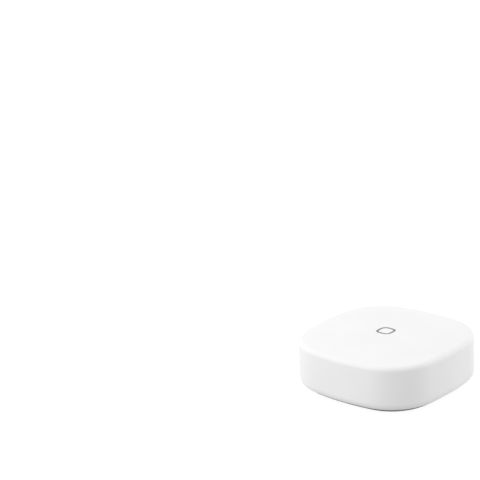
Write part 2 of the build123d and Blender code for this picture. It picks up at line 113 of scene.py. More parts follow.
# %% [markdown]
# A ring is one closed loop of that plan at one level. It starts as a single vertex, and each arc is
# a spin of the last vertex about that arc's centre. A skin grows from ring to ring: the edges of one
# ring are extruded and laid on the next. Bridging two finished rings would need fewer lines, but it
# can twist where both lie at one level.

# %% A ring and a skin of rings
FLAT_STEPS = 14
CORNER_STEPS = 26
MERGE_DISTANCE = 0.0005


def ring(inset, level, share=1.0):
    """Draws one closed loop of the plan, inset, scaled by a share and set at its level."""
    loop = bmesh.new()
    start = Vector((cos(-flat_angle), sin(-flat_angle), 0)) * (flat_radius - inset)
    start.x -= flat_offset
    vertex = bmesh.ops.create_vert(loop, co=start)["vert"][0]
    for turn in range(QUARTERS):
        facing = Matrix.Rotation(turn * QUARTER_TURN, 3, "Z")
        flat_centre = facing @ Vector((-flat_offset, 0, 0))
        corner_centre = facing @ Vector((corner_offset, corner_offset, 0))
        arcs = ((flat_centre, 2 * flat_angle, FLAT_STEPS), (corner_centre, corner_angle, CORNER_STEPS))
        for centre, angle, steps in arcs:
            spun = bmesh.ops.spin(
                loop, geom=[vertex], cent=centre, axis=UP, angle=angle, steps=steps,
                use_merge=False, use_normal_flip=False, use_duplicate=False,
            )
            vertex = spun["geom_last"][0]
    bmesh.ops.remove_doubles(loop, verts=loop.verts, dist=MERGE_DISTANCE)
    bmesh.ops.scale(loop, vec=(share, share, 1.0), verts=loop.verts)
    bmesh.ops.translate(loop, vec=UP * level, verts=loop.verts)
    return loop


def poured(small, bm):
    """Adds a small mesh to a larger one and gives back the edges that it brought."""
    older_edges = len(bm.edges)
    holder = bpy.data.meshes.new("holder")
    small.to_mesh(holder)
    bm.from_mesh(holder)
    bpy.data.meshes.remove(holder)
    return list(bm.edges)[older_edges:]


def skin(bm, stations, closed=False):
    """Grows a skin through a ring at each station, given as inset, level and share."""
    loops = [ring(*station) for station in stations]
    edges = poured(loops[0], bm)
    for lower, upper in zip(loops, loops[1:] + loops[:1] if closed else loops[1:]):
        upper_places = {tuple(low.co): high.co for low, high in zip(lower.verts, upper.verts)}
        grown = bmesh.ops.extrude_edge_only(bm, edges=edges)["geom"]
        fresh = {item for item in grown if isinstance(item, bmesh.types.BMVert)}
        for vertex in fresh:
            vertex.co = upper_places[tuple(vertex.co)]
        kept = [item for item in grown if isinstance(item, bmesh.types.BMEdge)]
        edges = [edge for edge in kept if fresh.issuperset(edge.verts)]
    for loop in loops:
        loop.free()


print(QUARTERS * (FLAT_STEPS + CORNER_STEPS), "points in a ring")

# %% [markdown]
# Round pieces are turned, as on a lathe: a profile of a few points is joined by edges and spun a
# full turn about the piece's own axis. The spin merges its seam, so the surface closes.

# %% Turned pieces
LATHE_STEPS = 48


def turned(bm, profile, spot=(0, 0)):
    """Spins a profile of radius and level about the upright axis at a spot."""
    centre = Vector((spot[0], spot[1], 0))
    corners = []
    for radius, level in profile:
        place = centre + Vector((radius, 0, level))
        corners.append(bmesh.ops.create_vert(bm, co=place)["vert"][0])
    ends_on_axis = profile[0][0] == 0 and profile[-1][0] == 0
    next_corners = corners[1:] if ends_on_axis else corners[1:] + corners[:1]
    edges = [bm.edges.new(pair) for pair in zip(corners, next_corners)]
    bmesh.ops.spin(
        bm, geom=corners + edges, cent=centre, axis=UP, angle=FULL_TURN, steps=LATHE_STEPS,
        use_merge=True, use_normal_flip=False, use_duplicate=False,
    )


def post(radius, low, high):
    """The profile of a solid round post."""
    return [(0, low), (radius, low), (radius, high), (0, high)]


# %% [markdown]
# Finishes come next. Every material is a tree of nodes, and two short helpers keep the trees
# readable: one adds a node and sets it, the other starts a group with its named inputs and outputs.
# All patterns are sized in millimetres, so that a grain of 0.1 mm is written as 0.1.

# %% Helpers for nodes
def add(tree, kind, inputs=None, **settings):
    """Adds a node, sets its properties, and sets or links its inputs."""
    node = tree.nodes.new(kind)
    for key, value in settings.items():
        setattr(node, key, value)
    for key, value in (inputs or {}).items():
        if isinstance(value, bpy.types.NodeSocket):
            tree.links.new(value, node.inputs[key])
        else:
            node.inputs[key].default_value = value
    return node


def group_tree(name, inputs, outputs):
    """Starts a node group with number sockets, and a vector socket for the place."""
    tree = bpy.data.node_groups.new(name, "ShaderNodeTree")
    tree.interface.new_socket("Place", in_out="INPUT", socket_type="NodeSocketVector")
    for title, value in inputs.items():
        socket = tree.interface.new_socket(title, in_out="INPUT", socket_type="NodeSocketFloat")
        socket.default_value = value
    for title in outputs:
        tree.interface.new_socket(title, in_out="OUTPUT", socket_type="NodeSocketFloat")
    entry = tree.nodes.new("NodeGroupInput")
    leave = tree.nodes.new("NodeGroupOutput")
    return tree, entry, leave


# %% [markdown]
# Moulded plastic isn't optically smooth: the mould is spark eroded, which leaves pits of about a
# tenth of a millimetre, and the skin has slow, faint changes in gloss where it cooled. One noise
# texture could do either alone. This group puts out both, so each plastic sets its own sizes.

# %% The moulded skin group
MILLIMETRES_IN_METRE = 1000.0
GRAIN_SIZE = 0.12
GRAIN_DETAIL = 2.0
GRAIN_FALLOFF = 0.55
DRIFT_SIZE = 9.0
DRIFT_DETAIL = 3.0
EVEN_FALLOFF = 0.5


def in_millimetres(tree, place):
    """The place that a pattern reads, in millimetres."""
    scaled = add(tree, "ShaderNodeVectorMath", {0: place}, operation="SCALE")
    scaled.inputs["Scale"].default_value = MILLIMETRES_IN_METRE
    return scaled.outputs[0]


def noise(tree, place, size, detail, falloff=EVEN_FALLOFF):
    """A noise whose spots have a size in millimetres, which comes from a socket."""
    rate = add(tree, "ShaderNodeMath", {0: 1.0, 1: size}, operation="DIVIDE")
    settings = {"Vector": place, "Scale": rate.outputs[0], "Detail": detail, "Roughness": falloff}
    return add(tree, "ShaderNodeTexNoise", settings).outputs["Fac"]


moulded_skin, entry, leave = group_tree(
    "moulded_skin", {"Grain Size": GRAIN_SIZE, "Drift Size": DRIFT_SIZE}, ("Grain", "Drift")
)
place_mm = in_millimetres(moulded_skin, entry.outputs["Place"])
grain = noise(moulded_skin, place_mm, entry.outputs["Grain Size"], GRAIN_DETAIL, GRAIN_FALLOFF)
drift = noise(moulded_skin, place_mm, entry.outputs["Drift Size"], DRIFT_DETAIL)
moulded_skin.links.new(grain, leave.inputs["Grain"])
moulded_skin.links.new(drift, leave.inputs["Drift"])
print("made the moulded_skin group")

# %% [markdown]
# Sheet and drawn metal carries fine lines from rolling. The same noise works if the place is
# squeezed along one direction first, which stretches the pattern into lines.

# %% The rolled metal group
LINE_WIDTH = 0.08
LINE_STRETCH = 14.0
LINE_DETAIL = 2.0
STAIN_SIZE = 5.0
STAIN_DETAIL = 4.0
rolled_lines, entry, leave = group_tree(
    "rolled_lines", {"Line Width": LINE_WIDTH, "Stain Size": STAIN_SIZE}, ("Lines", "Stain")
)
place_mm = in_millimetres(rolled_lines, entry.outputs["Place"])
squeezed = add(
    rolled_lines, "ShaderNodeMapping", {"Vector": place_mm, "Scale": (1 / LINE_STRETCH, 1.0, 1.0)}
)
rolled = noise(rolled_lines, squeezed.outputs[0], entry.outputs["Line Width"], LINE_DETAIL)
stain = noise(rolled_lines, place_mm, entry.outputs["Stain Size"], STAIN_DETAIL)
rolled_lines.links.new(rolled, leave.inputs["Lines"])
rolled_lines.links.new(stain, leave.inputs["Stain"])
print("made the rolled_lines group")

# %% [markdown]
# A finish is then a few choices: two close colours that the slow drift mixes, two values of
# roughness that it moves between, and a bump from the grain. A noise seldom leaves the middle of
# its range, so only that middle is spread over the two values.

# %% Helpers for finishes
MASK_LOW = 0.3
MASK_HIGH = 0.7
BUMP_STRENGTH = 0.5


def colour(shade, tint=(1.0, 1.0, 1.0)):
    """A colour as linear values, from a grey and a tint."""
    return (shade * tint[0], shade * tint[1], shade * tint[2], 1.0)


def start_material(name, group, sizes):
    """A new material with its shader, and a group that reads the piece's own place."""
    material = bpy.data.materials.new(name)
    material.use_nodes = True
    tree = material.node_tree
    shader = tree.nodes["Principled BSDF"]
    place = add(tree, "ShaderNodeTexCoord")
    effect = add(tree, "ShaderNodeGroup", node_tree=group)
    tree.links.new(place.outputs["Object"], effect.inputs["Place"])
    for title, value in sizes.items():
        effect.inputs[title].default_value = value
    return material, tree, shader, effect


def mix_colours(tree, mask, dark, light):
    """Mixes two colours by a mask. Each is a value or comes from another node."""
    mixed = add(tree, "ShaderNodeMix", {"Factor": mask, "A": dark, "B": light}, data_type="RGBA")
    return mixed.outputs["Result"]


def spread(tree, mask, low, high):
    """Moves a mask's middle range to run between two values."""
    ranged = add(
        tree, "ShaderNodeMapRange",
        {"Value": mask, "From Min": MASK_LOW, "From Max": MASK_HIGH, "To Min": low, "To Max": high},
    )
    return ranged.outputs["Result"]


def raise_bump(tree, shader, mask, depth):
    """Turns a mask into relief of a depth in millimetres."""
    bump = add(
        tree, "ShaderNodeBump",
        {"Height": mask, "Distance": depth * MILLIMETRE, "Strength": BUMP_STRENGTH},
    )
    tree.links.new(bump.outputs["Normal"], shader.inputs["Normal"])


# %% [markdown]
# Plastic, rubber and ceramic share one recipe. Metals have a second one, in which the rolled lines
# stand for the grain and the metallic value is one, because a metal's colour is that of its gloss.

# %% Recipes for plastics and metals
GRAIN_DEPTH = 0.01
LINE_DEPTH = 0.004


def plastic(name, dark, light, rough, grain_size=GRAIN_SIZE, drift_size=DRIFT_SIZE, depth=GRAIN_DEPTH):
    """A moulded material of two close colours, a range of roughness and a fine grain."""
    material, tree, shader, skin_effect = start_material(
        name, moulded_skin, {"Grain Size": grain_size, "Drift Size": drift_size}
    )
    drift = skin_effect.outputs["Drift"]
    base = mix_colours(tree, spread(tree, drift, 0.0, 1.0), dark, light)
    tree.links.new(base, shader.inputs["Base Color"])
    tree.links.new(spread(tree, drift, *rough), shader.inputs["Roughness"])
    raise_bump(tree, shader, skin_effect.outputs["Grain"], depth)
    return material


def metal(name, dark, light, rough):
    """A metal of two close colours with fine rolled lines."""
    material, tree, shader, metal_effect = start_material(
        name, rolled_lines, {"Line Width": LINE_WIDTH, "Stain Size": STAIN_SIZE}
    )
    shader.inputs["Metallic"].default_value = 1.0
    lines, stain = metal_effect.outputs["Lines"], metal_effect.outputs["Stain"]
    base = mix_colours(tree, spread(tree, stain, 0.0, 1.0), dark, light)
    tree.links.new(base, shader.inputs["Base Color"])
    tree.links.new(spread(tree, lines, *rough), shader.inputs["Roughness"])
    raise_bump(tree, shader, lines, LINE_DEPTH)
    return material


# %% [markdown]
# The outside is one satin white plastic. The ring in the top is the edge of a grey light guide. The
# base's dark grey is painted shade: it stands for the shade in the gap under the shell, where it shows
# as a thin line at the table. The foot is a soft matt rubber, darkened further with painted shade of
# that gap.

# %% Finishes of the outside
outside = (
    plastic(
        "shell_white", colour(0.875), colour(0.9), rough=(0.36, 0.44),
        grain_size=0.16, drift_size=14.0, depth=0.006,
    ),
    plastic(
        "halo_grey", colour(0.19), colour(0.22), rough=(0.4, 0.5),
        grain_size=0.1, drift_size=2.0, depth=0.004,
    ),
    # The dark grey of the base is painted shade for the gap between the shell and the table.
    plastic(
        "tray_grey", colour(0.13), colour(0.155), rough=(0.45, 0.55),
        grain_size=0.15, drift_size=8.0, depth=0.012,
    ),
    # The foot's dark rubber is partly its own colour and partly painted shade of the gap under the
    # shell.
    plastic(
        "foot_rubber", colour(0.055), colour(0.075), rough=(0.7, 0.85),
        grain_size=0.2, drift_size=4.0, depth=0.03,
    ),
)
finishes = {finish.name: finish for finish in outside}
print("outside finishes", sorted(finishes))

# %% [markdown]
# Inside are the finishes of small electronics. The metals are steel and nickel, for the cell, the
# springs, the contacts, the screws and the radio's shield, and the soft disc inside the cell. Their
# greys are even or lean a little to blue.

# %% Finishes of the metals inside
COOL = (0.96, 0.98, 1.0)
metals = (
    metal("cell_steel", colour(0.5, COOL), colour(0.62), rough=(0.2, 0.34)),
    metal("contact_metal", colour(0.52), colour(0.66, COOL), rough=(0.22, 0.36)),
    metal("screw_steel", colour(0.4, COOL), colour(0.5), rough=(0.28, 0.42)),
    metal("shield_metal", colour(0.55), colour(0.66, COOL), rough=(0.3, 0.45)),
    metal("spring_steel", colour(0.45, COOL), colour(0.55), rough=(0.2, 0.3)),
    metal("lithium_metal", colour(0.6), colour(0.72), rough=(0.4, 0.6)),
)
finishes.update({finish.name: finish for finish in metals})
print("metals", [finish.name for finish in metals])

# %% [markdown]
# The rest of the inside is black epoxy for the chips, ceramic for the capacitors and the antenna,
# and the seal, the pellet and the paper in the cell. The smaller a piece is, the finer is its grain.

# %% Finishes of the plastics and ceramics inside
WARM = (1.0, 0.86, 0.62)
moulded = (
    plastic("seal_plastic", colour(0.03), colour(0.045), rough=(0.45, 0.6)),
    plastic(
        "cell_black", colour(0.015), colour(0.03), rough=(0.7, 0.9),
        grain_size=0.3, drift_size=3.0, depth=0.04,
    ),
    plastic(
        "cell_paper", colour(0.6), colour(0.72, WARM), rough=(0.8, 0.9),
        grain_size=0.2, drift_size=2.0, depth=0.03,
    ),
    plastic(
        "chip_black", colour(0.018), colour(0.03), rough=(0.42, 0.6),
        grain_size=0.08, drift_size=1.5,
    ),
    plastic(
        "antenna_white", colour(0.68), colour(0.78), rough=(0.3, 0.42),
        grain_size=0.1, drift_size=2.0,
    ),
    plastic(
        "led_white", colour(0.72), colour(0.82), rough=(0.25, 0.4),
        grain_size=0.08, drift_size=1.0, depth=0.005,
    ),
    plastic("capacitor_tan", colour(0.3, WARM), colour(0.42, WARM), rough=(0.35, 0.5)),
    plastic("switch_black", colour(0.02), colour(0.035), rough=(0.4, 0.55), drift_size=3.0),
)
finishes.update({finish.name: finish for finish in moulded})
print("plastics and ceramics", [finish.name for finish in moulded])

# %% [markdown]
# The board has a green lacquer over copper tracks, which show as slightly raised, lighter lines,
# and tinned dots where a hole passes through. A brick texture gives straight tracks with right
# angles, and the cells of a Voronoi texture give scattered dots. Both read the piece's own place.
# A track's run, row and width are shares of the spacing, and a hole's radii are shares of a cell.

# %% The sizes and colours of the board's pattern
TRACK_SPACING = 1.9
TRACK_RELIEF = 0.03
TRACK_WIDTH_SHARE = 0.07
TRACK_SOFTNESS = 0.3
TRACK_RUN_SHARE = 3.6
TRACK_ROW_SHARE = 0.8
HOLE_RATE = 0.42
HOLE_SCATTER = 0.9
HOLE_INNER_SHARE = 0.1
HOLE_OUTER_SHARE = 0.12
BOARD_GRAIN = 0.1
BOARD_DRIFT = 4.0
BOARD_ROUGH = (0.28, 0.4)
LACQUER_DARK = (0.008, 0.075, 0.03, 1.0)
LACQUER_LIGHT = (0.012, 0.1, 0.04, 1.0)
TRACK_GREEN = (0.035, 0.19, 0.07, 1.0)
TINNED = (0.62, 0.6, 0.56, 1.0)
print(f"the tracks lie {TRACK_SPACING * TRACK_ROW_SHARE:.1f} mm apart")

# %% The board's finish
board_green, tree, shader, skin_effect = start_material(
    "board_green", moulded_skin, {"Grain Size": BOARD_GRAIN, "Drift Size": BOARD_DRIFT}
)
place = add(tree, "ShaderNodeTexCoord")
place_mm = in_millimetres(tree, place.outputs["Object"])
tracks = add(
    tree, "ShaderNodeTexBrick",
    {"Vector": place_mm, "Scale": 1 / TRACK_SPACING, "Mortar Size": TRACK_WIDTH_SHARE,
     "Mortar Smooth": TRACK_SOFTNESS, "Brick Width": TRACK_RUN_SHARE, "Row Height": TRACK_ROW_SHARE},
)
holes = add(
    tree, "ShaderNodeTexVoronoi", {"Vector": place_mm, "Scale": HOLE_RATE, "Randomness": HOLE_SCATTER}
)
hole_mask = add(
    tree, "ShaderNodeMapRange",
    {"Value": holes.outputs["Distance"], "From Min": HOLE_INNER_SHARE, "From Max": HOLE_OUTER_SHARE,
     "To Min": 1.0, "To Max": 0.0},
)
drift = spread(tree, skin_effect.outputs["Drift"], 0.0, 1.0)
lacquer = mix_colours(tree, drift, LACQUER_DARK, LACQUER_LIGHT)
tracked = mix_colours(tree, tracks.outputs["Fac"], lacquer, TRACK_GREEN)
dotted = mix_colours(tree, hole_mask.outputs["Result"], tracked, TINNED)
tree.links.new(dotted, shader.inputs["Base Color"])
tree.links.new(hole_mask.outputs["Result"], shader.inputs["Metallic"])
tree.links.new(spread(tree, skin_effect.outputs["Grain"], *BOARD_ROUGH), shader.inputs["Roughness"])
raise_bump(tree, shader, tracks.outputs["Fac"], TRACK_RELIEF)
finishes["board_green"] = board_green
print("made the board's finish")

# %% [markdown]
# Each solid of the frame that keeps its own shape takes the finish of its slot in the record. Only
# its material is set: its mesh stays as it was packed.

# %% Dress the solids
slot_of_node = {part["node"]: part["material_slot"] for part in frame["record"]["subparts"]}
for node_name, node in nodes.items():
    if not node.material_slots:
        node.data.materials.append(None)
    for slot in node.material_slots:
        slot.material = finishes[slot_of_node[node_name]]
print("dressed", len(nodes), "solids")

# %% [markdown]
# A piece that is modelled here ends in the same way each time: its doubled points are merged, its
# faces are turned outwards, and it is scaled to metres and told which body it rides on. Edges
# sharper than an angle stay crisp, and all others are shaded smooth.

# %% Finished pieces
SMOOTH_ANGLE = radians(40)


def finished(bm, name, body, slot_name):
    """Scales a modelled mesh to metres and makes it a piece that rides on its body."""
    bmesh.ops.remove_doubles(bm, verts=bm.verts, dist=MERGE_DISTANCE)
    flat_faces = [face for face in bm.faces if face.calc_area() < MERGE_DISTANCE**2]
    bmesh.ops.delete(bm, geom=flat_faces, context="FACES")
    bmesh.ops.recalc_face_normals(bm, faces=bm.faces)
    bmesh.ops.scale(bm, vec=(MILLIMETRE,) * 3, verts=bm.verts)
    mesh = bpy.data.meshes.new(name)
    bm.to_mesh(mesh)
    bm.free()
    mesh.materials.append(finishes[slot_name])
    mesh.shade_smooth()
    mesh.set_sharp_from_angle(angle=SMOOTH_ANGLE)
    piece = bpy.data.objects.new(name, mesh)
    bpy.context.scene.collection.objects.link(piece)
    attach(piece, body)
    print(f"made {name} with {len(mesh.polygons)} faces")
    return piece


# %% [markdown]
# The shell is the whole button: it is pressed down over the base. It is one closed skin of rings.
# The outside starts at the lower edge, curves out over a rounding of 2.6 mm, climbs the wall, turns
# over a rounding of 1.6 mm into the gently crowned top, and ends at the seat of the ring. The inside
# goes back the same way. Rounding a sharp shell with a bevel could do it too, but the rings let the
# crown and the roundings meet without a crease.

# %% The profile of the shell
cap_wall = 2.0
cap_lift = 1.1
top_softness = 1.6
bottom_softness = 2.6
top_thickness = 1.85
lid_under = height - top_thickness
inner_rim_level = lid_under - crown_rise
halo_size = 5.7
halo_share = halo_size / side
ARC_STEPS = 9
CROWN_STEPS = 16
CROWN_START_SHARE = 0.915


def crown_level(rim, share):
    """The level of a crowned surface at a share of the plan."""
    flat_share = max(share, crown_flat_share)
    return rim + crown_rise * (1 - flat_share**2) / (1 - crown_flat_share**2)


def crown_stations(inset, rim, shares):
    """Stations along a crowned surface."""
    return [(inset, crown_level(rim, share), share) for share in shares]


mean_reach = (half_side + corner_offset * sqrt(2) + corner_radius) / 2
rim_slope = 2 * crown_rise / mean_reach
rim_angle = atan(rim_slope)
edge_centre = rim_level + rim_slope * top_softness - top_softness * sqrt(1 + rim_slope**2)
lower_start = acos((bottom_softness - cap_wall) / bottom_softness)

outer_stations = []
for step in range(ARC_STEPS + 1):
    swing = lower_start * (1 - step / ARC_STEPS)
    inset = bottom_softness * (1 - cos(swing))
    level = cap_lift + bottom_softness * (1 - sin(swing))
    outer_stations.append((inset, level, 1.0))
for step in range(ARC_STEPS + 1):
    swing = (QUARTER_TURN - rim_angle) * step / ARC_STEPS
    inset = top_softness * (1 - cos(swing))
    outer_stations.append((inset, edge_centre + top_softness * sin(swing), 1.0))
share_step = (CROWN_START_SHARE - halo_share) / CROWN_STEPS
crown_shares = [CROWN_START_SHARE - step * share_step for step in range(CROWN_STEPS + 1)]
outer_stations += crown_stations(0.0, rim_level, crown_shares)
print(len(outer_stations), "stations outside")

# %% [markdown]
# Inside the shell are a seat and a sleeve for each spring and its guide post, two bosses that push
# the switches, and four snap hooks that keep the shell on its base. Seats, sleeves and bosses hang
# from the underside of the lid, so their levels are worked out from it. The lid is crowned, so a
# sleeve in a corner has its root a little below the level of the middle.

# %% The sizes inside the shell
spring_place = 14.829
switch_place = 14.55
seat_radius = 2.75
seat_depth = 1.1
sleeve_radius = 2.0
sleeve_bore = 1.35
sleeve_length = 3.2
boss_radius = 1.7
boss_length = 1.3
root_sink = 0.2
edge_rise = 0.25
hook_top = 4.8
hook_lip = 4.2
hook_low = 2.8
hook_reach = 1.0
hook_half_width = 3.0

seat_low = lid_under - seat_depth
sleeve_low = seat_low - sleeve_length
boss_low = lid_under - boss_length
root_level = lid_under - root_sink
hook_face_place = half_side - cap_wall
hook_tip = hook_face_place - hook_reach
hook_root = half_side - cap_wall / 2
four_corners = [(x, y) for x in (-spring_place, spring_place) for y in (-spring_place, spring_place)]
print(f"the sleeves reach down to {sleeve_low:.1f} mm and the bosses to {boss_low:.1f} mm")

# %% [markdown]
# Seats, sleeves and bosses are closed shapes that run into the lid, as ribs do in a moulding. A
# hook is an outline drawn at one end and pushed along to the other, once for each side.

# %% Build the shell
inner_stations = [(0.0, lid_under, halo_share)]
inner_stations += crown_stations(cap_wall, inner_rim_level, reversed(crown_shares[:-1]))
inner_stations += [(cap_wall, inner_rim_level, 1.0), (cap_wall, outer_stations[0][1] + edge_rise, 1.0)]
hook_outline = [
    (hook_root, hook_top), (hook_tip, hook_top), (hook_tip, hook_lip),
    (hook_face_place, hook_low), (hook_root, hook_low),
]

bm = bmesh.new()
skin(bm, outer_stations + inner_stations, closed=True)
for spot in four_corners:
    turned(bm, post(seat_radius, seat_low, root_level), spot)
    sleeve = [(sleeve_bore, sleeve_low), (sleeve_radius, sleeve_low)]
    sleeve += [(sleeve_radius, root_level), (sleeve_bore, root_level)]
    turned(bm, sleeve, spot)
for place_x in (-switch_place, switch_place):
    turned(bm, post(boss_radius, boss_low, lid_under), (place_x, 0))
for turn in range(QUARTERS):
    facing = Matrix.Rotation(turn * QUARTER_TURN, 3, "Z")
    corners = []
    for reach, level in hook_outline:
        place = facing @ Vector((reach, -hook_half_width, level))
        corners.append(bmesh.ops.create_vert(bm, co=place)["vert"][0])
    hook_face = bm.faces.new(corners)
    grown = bmesh.ops.extrude_face_region(bm, geom=[hook_face])
    moved = [item for item in grown["geom"] if isinstance(item, bmesh.types.BMVert)]
    bmesh.ops.translate(bm, vec=facing @ Vector((0, 2 * hook_half_width, 0)), verts=moved)
shell = finished(bm, "shell", "shell", "shell_white")
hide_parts("press_cap")

# %% [markdown]
# The thin grey ring in the middle of the top is the upper edge of a light guide: a frame in the
# plan's own outline, a flange under the lid and a stem down to the lamp on the board. Its upper
# edge is softened by a hair, so it catches the light as moulded plastic does. The white insert
# fills the frame. Both are open skins of rings whose ends are closed with flat faces.

# %% The light guide and the insert
RING_SOFTNESS = 0.05
halo_rim = 0.8
halo_rim_inset = halo_rim / halo_share
insert_depth = 0.8
flange_radius = 3.5
flange_thickness = 0.6
flange_low = lid_under - flange_thickness
stem_radius = 1.5
stem_low = 11.3
soft_inset = RING_SOFTNESS / halo_share


def close_ends(bm):
    """Fills the open ends of a skin with flat faces."""
    bmesh.ops.holes_fill(bm, edges=[edge for edge in bm.edges if edge.is_boundary])


bm = bmesh.new()
skin(
    bm,
    [
        (0.0, lid_under, halo_share),
        (0.0, height - RING_SOFTNESS, halo_share),
        (soft_inset, height, halo_share),
        (halo_rim_inset - soft_inset, height, halo_share),
        (halo_rim_inset, height - RING_SOFTNESS, halo_share),
        (halo_rim_inset, height - insert_depth, halo_share),
    ],
)
close_ends(bm)
turned(bm, post(flange_radius, flange_low, lid_under))
turned(bm, post(stem_radius, stem_low, flange_low))
light_guide = finished(bm, "light_guide", "shell", "halo_grey")
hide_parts("halo_light_guide")

bm = bmesh.new()
skin(
    bm,
    [
        (halo_rim_inset, height - insert_depth, halo_share),
        (halo_rim_inset, height - RING_SOFTNESS, halo_share),
        (halo_rim_inset + soft_inset, height, halo_share),
    ],
)
close_ends(bm)
insert = finished(bm, "center_insert", "shell", "shell_white")
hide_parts("halo_center_cap")

# %% [markdown]
# The foot is a soft ring that keeps the button from sliding. Rubber has no sharp edges, so its
# section is a rounded bar, drawn as rings and closed on itself.

# %% The foot
foot_low, foot_high = [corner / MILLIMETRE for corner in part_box("foot_ring")]
foot_width = 2.0
foot_soft = 0.3
foot_inset = half_side - foot_high.x
BEAD_STEPS = 5

foot_stations = []
outer_bend = (foot_inset + foot_soft, pi)
inner_bend = (foot_inset + foot_width - foot_soft, -QUARTER_TURN)
for corner_inset, swing_start in (outer_bend, inner_bend):
    for step in range(BEAD_STEPS + 1):
        swing = swing_start + QUARTER_TURN * step / BEAD_STEPS
        level = foot_low.z + foot_soft + foot_soft * sin(swing)
        foot_stations.append((corner_inset + foot_soft * cos(swing), level, 1.0))
foot_stations.append((foot_inset + foot_width, foot_high.z, 1.0))
foot_stations.append((foot_inset, foot_high.z, 1.0))
bm = bmesh.new()
skin(bm, foot_stations, closed=True)
foot = finished(bm, "soft_foot", "base", "foot_rubber")
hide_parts("foot_ring")

# %% [markdown]
# A return spring pushes each corner of the shell back up. A coil is a small circle spun about the
# spring's axis with a climb at every step. The springs shorten as the shell goes down.

# %% The springs
spring_low, spring_high = [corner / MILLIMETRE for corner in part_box("return_springs")]
wire_radius = 0.175
coil_radius = 2.4
spring_turns = 4
STEPS_IN_TURN = 28
WIRE_SIDES = 10
spring_length = spring_high.z - spring_low.z
coil_steps = spring_turns * STEPS_IN_TURN
climb = spring_length - 2 * wire_radius

bm = bmesh.new()
for spot in four_corners:
    centre = Vector((spot[0], spot[1], 0))
    wire_place = centre + Vector((coil_radius, 0, spring_low.z + wire_radius))
    upright = Matrix.Translation(wire_place) @ Matrix.Rotation(QUARTER_TURN, 4, "X")
    wire = bmesh.ops.create_circle(
        bm, cap_ends=True, radius=wire_radius, segments=WIRE_SIDES, matrix=upright
    )
    wire_faces = list({face for vertex in wire["verts"] for face in vertex.link_faces})
    bmesh.ops.spin(
        bm, geom=wire_faces, cent=centre, axis=UP, dvec=UP * (climb / coil_steps),
        angle=spring_turns * FULL_TURN, steps=coil_steps,
        use_merge=False, use_normal_flip=False, use_duplicate=False,
    )
coils = finished(bm, "coil_springs", "base", "spring_steel")
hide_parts("return_springs")
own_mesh(coils)

# %% [markdown]
# The click comes from a thin metal dome in each switch. It is turned from a shallow arc, and it
# flattens under its plunger by the travel of the shell.

# %% The click domes
dome_low, dome_high = [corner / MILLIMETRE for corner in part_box("switch_domes")]
dome_rise = dome_high.z - dome_low.z
dome_radius = 2.4
dome_sheet = 0.1
DOME_STEPS = 8
dome_sphere = (dome_radius**2 + (dome_rise - dome_sheet) ** 2) / (2 * (dome_rise - dome_sheet))
dome_sweep = atan2(dome_radius, dome_sphere - (dome_rise - dome_sheet))

bm = bmesh.new()
for place_x in (-switch_place, switch_place):
    upper, lower = [], []
    for step in range(DOME_STEPS + 1):
        swing = dome_sweep * step / DOME_STEPS
        drop = dome_sphere * (1 - cos(swing))
        reach = dome_sphere * sin(swing)
        upper.append((reach, dome_high.z - drop))
        lower.append((reach, dome_high.z - dome_sheet - drop))
    turned(bm, upper + lower[::-1], (place_x, 0))
domes = finished(bm, "click_domes", "base", "contact_metal")
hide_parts("switch_domes")
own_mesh(domes)

# %% [markdown]
# The button stands on a plain white floor in even studio light. A background could be made white
# with strong lamps, but then the white button would clip too. A shader can ask instead what kind of
# ray has reached it, so the floor and the room are brighter only for rays that end in the picture.

# %% What an eye sees
def seen_by_eye(tree):
    """One for what the camera sees directly, in a reflection or through glass, and else zero."""
    rays = add(tree, "ShaderNodeLightPath")
    direct = add(
        tree, "ShaderNodeMath",
        {0: rays.outputs["Is Camera Ray"], 1: rays.outputs["Is Glossy Ray"]}, operation="MAXIMUM",
    )
    either = add(
        tree, "ShaderNodeMath",
        {0: direct.outputs[0], 1: rays.outputs["Is Transmission Ray"]}, operation="MAXIMUM",
    )
    return either.outputs[0]


# %% [markdown]
# The floor is a wide face that shows its lower side as clear and lets the light of the room pass, so
# that the underside of the button can be judged too. To the camera and in reflections it is a little
# brighter than its own colour, which leaves only a faint shadow.

# %% The floor
FLOOR_HALF = 3.0
FLOOR_CUTS = 2
FLOOR_WHITE = 0.9
FLOOR_LIFT = 0.86
FLOOR_GLOW = 1.08

bm = bmesh.new()
bmesh.ops.create_grid(bm, x_segments=FLOOR_CUTS, y_segments=FLOOR_CUTS, size=FLOOR_HALF)
floor_mesh = bpy.data.meshes.new("studio_floor")
bm.to_mesh(floor_mesh)
bm.free()
floor = bpy.data.objects.new("studio_floor", floor_mesh)
bpy.context.scene.collection.objects.link(floor)
floor.visible_diffuse = False
floor.visible_shadow = False

floor_white = bpy.data.materials.new("floor_white")
floor_white.use_nodes = True
tree = floor_white.node_tree
shader = tree.nodes["Principled BSDF"]
output = tree.nodes["Material Output"]
shader.inputs["Base Color"].default_value = colour(FLOOR_WHITE)
shader.inputs["Roughness"].default_value = 1.0
shader.inputs["Specular IOR Level"].default_value = 0.0
shown = add(
    tree, "ShaderNodeMath", {0: seen_by_eye(tree), 1: FLOOR_LIFT}, operation="MULTIPLY"
)
glow = add(tree, "ShaderNodeEmission", {"Strength": FLOOR_GLOW})
lifted = add(
    tree, "ShaderNodeMixShader", {0: shown.outputs[0], 1: shader.outputs[0], 2: glow.outputs[0]}
)
clear = add(tree, "ShaderNodeBsdfTransparent")
facing = add(tree, "ShaderNodeNewGeometry")
two_sided = add(
    tree, "ShaderNodeMixShader",
    {0: facing.outputs["Backfacing"], 1: lifted.outputs[0], 2: clear.outputs[0]},
)
tree.links.new(two_sided.outputs[0], output.inputs["Surface"])
floor_mesh.materials.append(floor_white)
print("made the floor")

# %% [markdown]
# The light is a white room, which is the world, and two soft lamps. The lower half of the world is
# weaker, as a white floor throws back part of the light. What the camera sees of the room, straight
# or in a reflection, is plain white.

